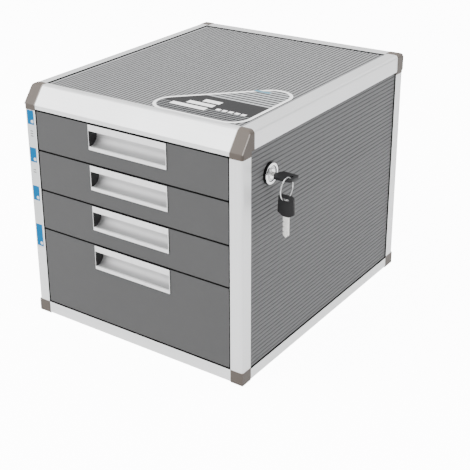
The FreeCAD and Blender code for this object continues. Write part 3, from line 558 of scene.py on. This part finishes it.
def lock_opening():
    """The round hole in the right panel for the lock's barrel."""
    low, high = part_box("lock_body")
    axis_y, axis_z = (low.y + high.y) / 2, (low.z + high.z) / 2
    shape = bmesh.new()
    bmesh.ops.create_cone(
        shape, cap_ends=True, segments=ring_steps, radius1=barrel_radius + hole_room,
        radius2=barrel_radius + hole_room, depth=barrel_length,
    )
    turn = Matrix.Rotation(math.pi / 2, 4, "Y")
    centre = Vector((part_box("right_side_panel")[1].x, axis_y, axis_z))
    bmesh.ops.transform(shape, matrix=Matrix.Translation(centre) @ turn, verts=shape.verts)
    return shape


def side_panel(node, outward, finishes):
    """A ribbed side, its ribs level; the right one has the lock's hole."""
    low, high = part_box(node)
    span = high - low
    shape = ribbed_sheet(span.z, span.y, side_rib_pitch, side_rib_depth, side_rib_sharpness)
    surface = high.x if outward > 0 else low.x
    centre = Vector((surface, (low.y + high.y) / 2, (low.z + high.z) / 2))
    set_upright(shape, (0, 0, 1), (0, outward, 0), (outward, 0, 0), centre)
    if outward > 0:
        shape = cut_with(shape, lock_opening())
    finish_piece(shape, "ribbed_" + node, [node], finishes)


def back_panel(finishes):
    """The ribbed back, its ribs level."""
    low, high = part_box("back_panel")
    span = high - low
    shape = ribbed_sheet(span.z, span.x, side_rib_pitch, side_rib_depth, side_rib_sharpness)
    centre = Vector(((low.x + high.x) / 2, high.y, (low.z + high.z) / 2))
    set_upright(shape, (0, 0, 1), (1, 0, 0), (0, 1, 0), centre)
    finish_piece(shape, "ribbed_back_panel", ["back_panel"], finishes)


def top_panel(finishes):
    """The ribbed top, its ribs from front to back."""
    low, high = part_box("top_panel")
    span = high - low
    shape = ribbed_sheet(span.x, span.y, top_rib_pitch, top_rib_depth, top_rib_sharpness)
    centre = Vector(((low.x + high.x) / 2, (low.y + high.y) / 2, high.z))
    set_upright(shape, (1, 0, 0), (0, 1, 0), (0, 0, 1), centre)
    finish_piece(shape, "ribbed_top_panel", ["top_panel"], finishes)


# Drawers

def drawer_front(number, painted, moulded):
    """A moulded front, painted on its face; its sides and the roundings of its edges are painted near-black
    as the shade in the gaps round it.
    """
    node = "drawer_%d_front" % number
    low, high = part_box(node)
    shape = merged_copy(node)
    rim = [edge for edge in sharp_edges(shape) if all(v.co.y < low.y + weld_distance for v in edge.verts)]
    upright = [
        edge for edge in rim
        if all(min(v.co.x - low.x, high.x - v.co.x) < weld_distance for v in edge.verts)
    ]
    pull_low, pull_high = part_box("drawer_%d_pull" % number)
    pocket = [
        edge for edge in rim
        if all(pull_low.x - front_side_round < v.co.x < pull_high.x + front_side_round for v in edge.verts)
        and min(v.co.z for v in edge.verts) < high.z - weld_distance
        and all(v.co.z > low.z + weld_distance for v in edge.verts)
    ]
    level = [edge for edge in rim if edge not in upright and edge not in pocket]
    for edges, width in ((level, front_edge_round), (pocket, pocket_edge_round), (upright, front_side_round)):
        soften(shape, [edge for edge in edges if edge.is_valid], width)
    # every face behind the face plane gets the near-black finish: painted shade in the gaps between parts
    for face in shape.faces:
        if face.calc_center_median().y > low.y + gap_shade_depth:
            face.material_index = 1
    finish_piece(shape, "painted_" + node, [node], [painted, moulded])


def drawer_pull(number, silver, cheek, moulded):
    """A recessed pull with soft lips; the cheeks at both ends of its scoop are painted dark as the shade in
    the recess, its outer sides and the rounding of its top edge near-black as the shade in the gap round it,
    and its scoop has painted shade towards its foot.
    """
    node = "drawer_%d_pull" % number
    low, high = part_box(node)
    scoop = shaded_scoop_paint("Silver paint of scoop %d" % number, low.z, high.z)
    shape = merged_copy(node)
    for face in shape.faces:
        middle = face.calc_center_median()
        edge_distance = min(middle.x - low.x, high.x - middle.x)
        # the cheeks get the dark finish: painted shade in the recess
        if abs(face.normal.x) > facing_share and weld_distance < edge_distance < cheek_inset:
            face.material_index = 1
        # the scoop gets the silver with painted shade towards its foot
        elif middle.y > low.y + scoop_start and face.normal.y < 0:
            face.material_index = 3
    lips = [edge for edge in sharp_edges(shape) if all(v.co.y < low.y + weld_distance for v in edge.verts)]
    soften(shape, lips, pull_edge_round)
    # outer sides and the top edge's rounding get the near-black finish: painted shade in the gap round the
    # pull
    for face in shape.faces:
        middle = face.calc_center_median()
        outer = min(middle.x - low.x, high.x - middle.x, middle.z - low.z, high.z - middle.z)
        if outer < weld_distance and middle.y > low.y + pull_edge_round:
            face.material_index = 2
        elif face.normal.z > leaning_share and high.z - middle.z < pull_edge_round:
            face.material_index = 2
    finish_piece(shape, "soft_" + node, [node], [silver, cheek, moulded, scoop])


def drawer_tray(number, finish):
    """A moulded tray with a rounded floor edge and soft rims."""
    node = "drawer_%d_tray" % number
    low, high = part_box(node)
    floor = low.z + tray_floor_height
    shape = merged_copy(node)
    floor_edges = [
        edge for edge in sharp_edges(shape)
        if all(abs(v.co.z - floor) < weld_distance for v in edge.verts)
    ]
    soften(shape, floor_edges, tray_floor_round, large_round_steps)
    rim_edges = [
        edge for edge in sharp_edges(shape)
        if all(v.co.z > high.z - weld_distance for v in edge.verts)
    ]
    soften(shape, rim_edges, tray_edge_round)
    finish_piece(shape, "soft_" + node, [node], [finish])


# Lock and keys

def lock_body(chrome, shadowed, brushed):
    """The turned lock body: a rounded bezel with a dished face, and a threaded barrel behind it; the bezel's
    side is a near-black chrome, a painted dark reflection.
    """
    low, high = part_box("lock_body")
    seat = high.x - bezel_thickness
    outline = [(plug_bore_radius, low.x)]
    turns = int(barrel_length / thread_pitch) - 1
    for number in range(turns):
        start = low.x + number * thread_pitch
        outline.append((barrel_radius - thread_depth, start))
        outline.append((barrel_radius, start + thread_pitch / 2))
    outline += [
        (barrel_radius - thread_depth, low.x + turns * thread_pitch),
        (barrel_radius - thread_depth, seat),
        (bezel_radius, seat),
    ]
    for step in range(bezel_round_steps + 1):
        angle = math.pi / 2 * step / bezel_round_steps
        outline.append((
            bezel_radius - bezel_round + bezel_round * math.cos(angle),
            high.x - bezel_round + bezel_round * math.sin(angle),
        ))
    outline += [
        (bezel_rim_radius, high.x),
        (dish_radius, high.x - dish_depth),
        (plug_bore_radius, high.x - dish_depth),
    ]
    shape = bmesh.new()
    points = [shape.verts.new((x, radius, 0)) for radius, x in outline]
    for here, there in zip(points, points[1:] + points[:1]):
        shape.edges.new((here, there))
    bmesh.ops.spin(
        shape, geom=shape.verts[:] + shape.edges[:], cent=(0, 0, 0), axis=(1, 0, 0), dvec=(0, 0, 0),
        angle=math.tau, steps=ring_steps, use_merge=True,
    )
    bmesh.ops.recalc_face_normals(shape, faces=shape.faces)
    for face in shape.faces:
        middle = face.calc_center_median()
        # the bezel's side gets the near-black chrome: a painted dark reflection
        if middle.x > seat and abs(face.normal.x) < bezel_side_share:
            face.material_index = 1
        elif middle.x > seat and math.hypot(middle.y, middle.z) < bezel_rim_radius:
            face.material_index = 2
    axis = Vector((0, (low.y + high.y) / 2, (low.z + high.z) / 2))
    bmesh.ops.translate(shape, vec=axis, verts=shape.verts)
    finish_piece(shape, "turned_lock_body", ["lock_body"], [chrome, shadowed, brushed])


def key_ring(finish):
    """The wire ring, spun from a round section."""
    low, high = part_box("key_ring")
    middle = (low + high) / 2
    wire = (high.x - low.x) / 2
    radius = (high.z - low.z) / 2 - wire
    shape = bmesh.new()
    bmesh.ops.create_circle(shape, segments=ring_section_points, radius=wire)
    bmesh.ops.transform(shape, matrix=Matrix.Rotation(math.pi / 2, 4, "X"), verts=shape.verts)
    bmesh.ops.translate(shape, vec=(0, 0, radius), verts=shape.verts)
    bmesh.ops.spin(
        shape, geom=shape.verts[:] + shape.edges[:], cent=(0, 0, 0), axis=(1, 0, 0), dvec=(0, 0, 0),
        angle=math.tau, steps=ring_steps, use_merge=True,
    )
    bmesh.ops.translate(shape, vec=middle, verts=shape.verts)
    bmesh.ops.recalc_face_normals(shape, faces=shape.faces)
    finish_piece(shape, "wire_key_ring", ["key_ring"], [finish])


# Sticker and film strip

def print_over(made, material):
    """Gives the faces of a printed mark their material."""
    for face in {face for vertex in made for face in vertex.link_faces}:
        face.material_index = material


def printed_bar(shape, centre, size, material):
    """A plain printed bar, a hair above its film."""
    made = bmesh.ops.create_cube(shape, size=1)["verts"]
    bmesh.ops.scale(shape, vec=size, verts=made)
    bmesh.ops.translate(shape, vec=centre, verts=made)
    print_over(made, material)


def printed_dot(shape, centre, radius, material):
    """A printed disc that faces the front, a hair above its film."""
    made = bmesh.ops.create_cone(
        shape, cap_ends=True, segments=dot_sides, radius1=radius, radius2=radius, depth=print_rise,
    )["verts"]
    turn = Matrix.Rotation(math.pi / 2, 4, "X")
    bmesh.ops.transform(shape, matrix=Matrix.Translation(centre) @ turn, verts=made)
    print_over(made, material)


def top_label(finishes):
    """The sticker: a white border round a dark field, with pale hatching, white bars and a pale blue one."""
    low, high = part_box("top_label")
    shape = merged_copy("top_label")
    top = max(shape.faces, key=lambda face: face.normal.z * face.calc_area())
    bmesh.ops.inset_region(shape, faces=[top], thickness=label_border, use_even_offset=True)
    top.material_index = 1
    lines = []
    y = far_hatch_start
    while y < high.y:
        lines += [y, y + far_hatch_pitch * far_line_share]
        y += far_hatch_pitch
    y = near_hatch_end
    while y > low.y + label_border:
        lines += [y, y - near_hatch_pitch * near_line_share]
        y -= near_hatch_pitch
    for y in lines:
        field = [face for face in shape.faces if face.material_index == 1]
        cut_across(shape, field, (0, y, 0), (0, 1, 0))
    for face in shape.faces:
        if face.material_index == 1:
            y = face.calc_center_median().y
            far_step = (y - far_hatch_start) / far_hatch_pitch
            near_step = (near_hatch_end - y) / near_hatch_pitch
            if far_step > 0 and far_step % 1 < far_line_share:
                face.material_index = 2
            elif near_step > 0 and near_step % 1 < near_line_share:
                face.material_index = 2
    bars = [(bar, 0) for bar in print_bars] + [(accent_bar, 3)]
    for (x, y, length, width), material in bars:
        printed_bar(shape, (x, y, high.z + print_rise / 2), (length, width, print_rise), material)
    finish_piece(shape, "printed_top_label", ["top_label"], finishes)


def post_strip(finishes):
    """The film strip down the left post, with blue blocks, a pale dot in each, and small grey dashes."""
    low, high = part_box("post_strip")
    shape = merged_copy("post_strip")
    corners = [
        edge for edge in shape.edges
        if abs(edge.verts[0].co.y - edge.verts[1].co.y) > weld_distance
    ]
    soften(shape, corners, strip_corner_round, large_round_steps)
    front = min(shape.faces, key=lambda face: face.normal.y * face.calc_area())
    front.material_index = 1
    for x in strip_block_span:
        field = [face for face in shape.faces if face.material_index == 1]
        cut_across(shape, field, (x, 0, 0), (1, 0, 0))
    for block in strip_blocks:
        for z in block:
            field = [face for face in shape.faces if face.material_index == 1]
            cut_across(shape, field, (0, 0, z), (0, 0, 1))
    for face in shape.faces:
        if face.material_index == 1:
            middle = face.calc_center_median()
            within = any(foot < middle.z < head for head, foot in strip_blocks)
            if not (within and strip_block_span[0] < middle.x < strip_block_span[1]):
                face.material_index = 0
    surface = low.y - print_rise / 2
    across, up = block_dot_offset
    for _, foot in strip_blocks:
        printed_dot(shape, (strip_block_span[0] + across, surface, foot + up), block_dot_radius, 0)
    for height in dash_heights:
        printed_bar(shape, (dash_x, surface, height), dash_size, 2)
    finish_piece(shape, "printed_post_strip", ["post_strip"], finishes)


# Every piece with its finish

def dress(node, finish):
    """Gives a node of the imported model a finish."""
    mesh = frame["nodes"][node].data
    mesh.materials.clear()
    mesh.materials.append(finish)


def extrusion(node, panel_sides, finish, groove):
    """A length of extrusion with soft edges; the lips that face its panels are painted near-black as the
    shade in their grooves.
    """
    low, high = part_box(node)
    shape = merged_copy(node)
    soften(shape, sharp_edges(shape), rail_edge_round)
    # lips facing a panel get the near-black finish: painted shade in the groove
    for axis, direction in panel_sides:
        side = high[axis] if direction > 0 else low[axis]
        for face in shape.faces:
            near = abs(face.calc_center_median()[axis] - side) < lip_shade_reach
            if near and face.normal[axis] * direction > half_facing_share:
                face.material_index = 1
    finish_piece(shape, "extruded_" + node, [node], [finish, groove])


def corner_piece(node, finish, ridge_highlight):
    """A moulded corner whose edges are rounded; the ridge over its outer corner has a lighter finish, a
    painted highlight.
    """
    shape = merged_copy(node)
    ridges = []
    for edge in sharp_edges(shape):
        beside, along = sorted((face.normal for face in edge.link_faces), key=lambda way: -abs(way.x))
        if abs(beside.x) > facing_share and min(abs(along.y), along.z) > leaning_share:
            ridges.append(edge)
    # the ridge's rounding gets the lighter finish: a painted highlight
    soften(shape, ridges, ridge_round, ridge_round_steps, material=1, clamp=False)
    soften(shape, sharp_edges(shape), corner_edge_round)
    finish_piece(shape, "moulded_" + node, [node], [finish, ridge_highlight])


def make_frame():
    lengths = {
        "top_front_rail": (0, [(1, 1)]), "top_back_rail": (0, [(1, -1)]),
        "bottom_front_rail": (0, [(2, 1)]), "bottom_back_rail": (0, [(2, 1)]),
    }
    for side, inward in (("left", 1), ("right", -1)):
        lengths[side + "_top_side_rail"] = (1, [(0, inward), (2, -1)])
        lengths[side + "_bottom_side_rail"] = (1, [(2, 1)])
        lengths[side + "_front_post"] = (2, [(1, 1), (0, inward)])
        lengths[side + "_back_post"] = (2, [(1, -1), (0, inward)])
    finishes = [
        anodised_aluminium("Anodised aluminium across", 0),
        anodised_aluminium("Anodised aluminium lengthwise", 1),
        anodised_aluminium("Anodised aluminium upright", 2),
    ]
    # near-black finish for the lips beside the panels: painted shade of the grooves
    groove = moulded_plastic("frame_groove_shade")
    for node, (way, panel_sides) in lengths.items():
        extrusion(node, panel_sides, finishes[way], groove)
    corner = moulded_plastic("corner")
    # lighter finish for the ridges: a painted highlight
    edge = moulded_plastic("corner_ridge_highlight")
    for node in frame["nodes"]:
        if node.endswith("corner"):
            corner_piece(node, corner, edge)


def make_panels():
    # the side finishes hold painted shade: darker grooves and a near-black strip along the edges
    side_finishes = [moulded_plastic(kind) for kind in ("panel_crest", "panel_groove_shade", "panel_edge_shade")]
    side_panel("left_side_panel", -1, side_finishes)
    side_panel("right_side_panel", 1, side_finishes)
    back_panel(side_finishes)
    # the top's groove finish is painted shade in its grooves
    top_finishes = [moulded_plastic(kind) for kind in ("top_crest", "top_groove_shade")]
    top_panel(top_finishes + side_finishes[-1:])
    dress("bottom_panel", moulded_plastic("base"))


def make_drawers():
    painted = moulded_plastic("front")
    # near-black finish for the drawers' sides and edges: painted shade in the gaps
    moulded = moulded_plastic("front_gap_shade")
    silver = scratched("Silver paint", silver_colour, silver_roughness, silver_scratch_depth, silver_metallic)
    # dark finish for the pulls' cheeks: painted shade in the recess
    cheek = moulded_plastic("cheek")
    tray = moulded_plastic("tray")
    zinc = metal("screws")
    for number in range(1, drawer_count + 1):
        drawer_front(number, painted, moulded)
        drawer_pull(number, silver, cheek, moulded)
        drawer_tray(number, tray)
        dress("drawer_%d_screws" % number, zinc)
    runner = moulded_plastic("runner")
    dress("left_liner", runner)
    dress("right_liner", runner)
    dress("liner_screws", zinc)


def make_lock():
    chrome = metal("chrome")
    zinc = metal("zinc")
    # the near-black chrome for the bezel's side is a painted dark reflection
    lock_body(chrome, metal("chrome_side_dark_reflection"), metal("brushed"))
    softened_piece("lock_plug", small_edge_round, chrome)
    for node in ("lock_nut", "lock_cam", "lock_bar"):
        softened_piece(node, small_edge_round, zinc)
    dress("cam_screw", zinc)
    head = moulded_plastic("key_head")
    blade = metal("blade")
    for key in ("key", "spare_key"):
        softened_piece(key + "_head", key_edge_round, head)
        softened_piece(key + "_blade", small_edge_round, blade)
    key_ring(metal("wire"))


def make_stickers():
    top_label([moulded_plastic("label_" + kind) for kind in ("white", "dark", "light", "accent")])
    post_strip([moulded_plastic(kind) for kind in ("film", "film_blue", "film_grey")])


# Studio

def place_camera():
    azimuth = math.radians(camera_azimuth)
    elevation = math.radians(camera_elevation)
    back = Vector((
        math.sin(azimuth) * math.cos(elevation),
        -math.cos(azimuth) * math.cos(elevation),
        math.sin(elevation),
    ))
    level = Vector((math.cos(azimuth), math.sin(azimuth), 0))
    upright = Matrix((level, back.cross(level), back)).transposed()
    turned = upright @ Matrix.Rotation(math.radians(camera_roll), 3, "Z")
    data = bpy.data.cameras.new("Camera")
    data.sensor_width = sensor_width
    data.lens = camera_focal / image_side * sensor_width
    data.shift_x = (image_side / 2 - camera_centre[0]) / image_side
    data.shift_y = (camera_centre[1] - image_side / 2) / image_side
    camera = bpy.data.objects.new("Camera", data)
    camera.matrix_world = Matrix.Translation(camera_place) @ turned.to_4x4()
    bpy.context.scene.collection.objects.link(camera)
    bpy.context.scene.camera = camera


def add_softbox(name, place, size, power):
    """A square area light that looks at the object."""
    data = bpy.data.lights.new(name, "AREA")
    data.shape = "SQUARE"
    data.size = size
    data.energy = power
    light = bpy.data.objects.new(name, data)
    light.location = place
    light.rotation_euler = (Vector(place) - Vector(light_target)).to_track_quat("Z", "Y").to_euler()
    bpy.context.scene.collection.objects.link(light)


def light_studio():
    """Soft light from all sides; the camera sees it as a backdrop as pale as the floor."""
    world = bpy.data.worlds.new("Studio")
    world.use_nodes = True
    tree = world.node_tree
    background = tree.nodes["Background"]
    background.inputs["Color"].default_value = (*world_colour, 1)
    rays = tree.nodes.new("ShaderNodeLightPath")
    strength = tree.nodes.new("ShaderNodeMapRange")
    strength.inputs["To Min"].default_value = world_strength
    strength.inputs["To Max"].default_value = backdrop_glow
    tree.links.new(rays.outputs["Is Camera Ray"], strength.inputs["Value"])
    tree.links.new(strength.outputs["Result"], background.inputs["Strength"])
    bpy.context.scene.world = world
    for softbox in softboxes:
        add_softbox(*softbox)


def sheet_on_floor(name, height, glow):
    """A pale glowing sheet under the object."""
    shape = bmesh.new()
    bmesh.ops.create_grid(shape, x_segments=1, y_segments=1, size=floor_size / 2)
    bmesh.ops.translate(shape, vec=(0, 0, height), verts=shape.verts)
    mesh = bpy.data.meshes.new(name)
    shape.to_mesh(mesh)
    shape.free()
    sheet = bpy.data.objects.new(name, mesh)
    bpy.context.scene.collection.objects.link(sheet)
    paper = new_finish(name + " paper", floor_colour, floor_roughness)
    shader_of(paper).inputs["Emission Color"].default_value = (*floor_colour, 1)
    shader_of(paper).inputs["Emission Strength"].default_value = glow
    mesh.materials.append(paper)
    sheet.visible_diffuse = False
    return sheet


def lay_floor():
    """The pale floor, and a dimmer sheet below it that is all the object's gloss sees."""
    floor = sheet_on_floor("Floor", 0, floor_glow)
    floor.visible_glossy = False
    sheet_on_floor("Reflector", -floor_drop, reflector_glow)


place_camera()
light_studio()
lay_floor()
make_frame()
make_panels()
make_drawers()
make_lock()
make_stickers()
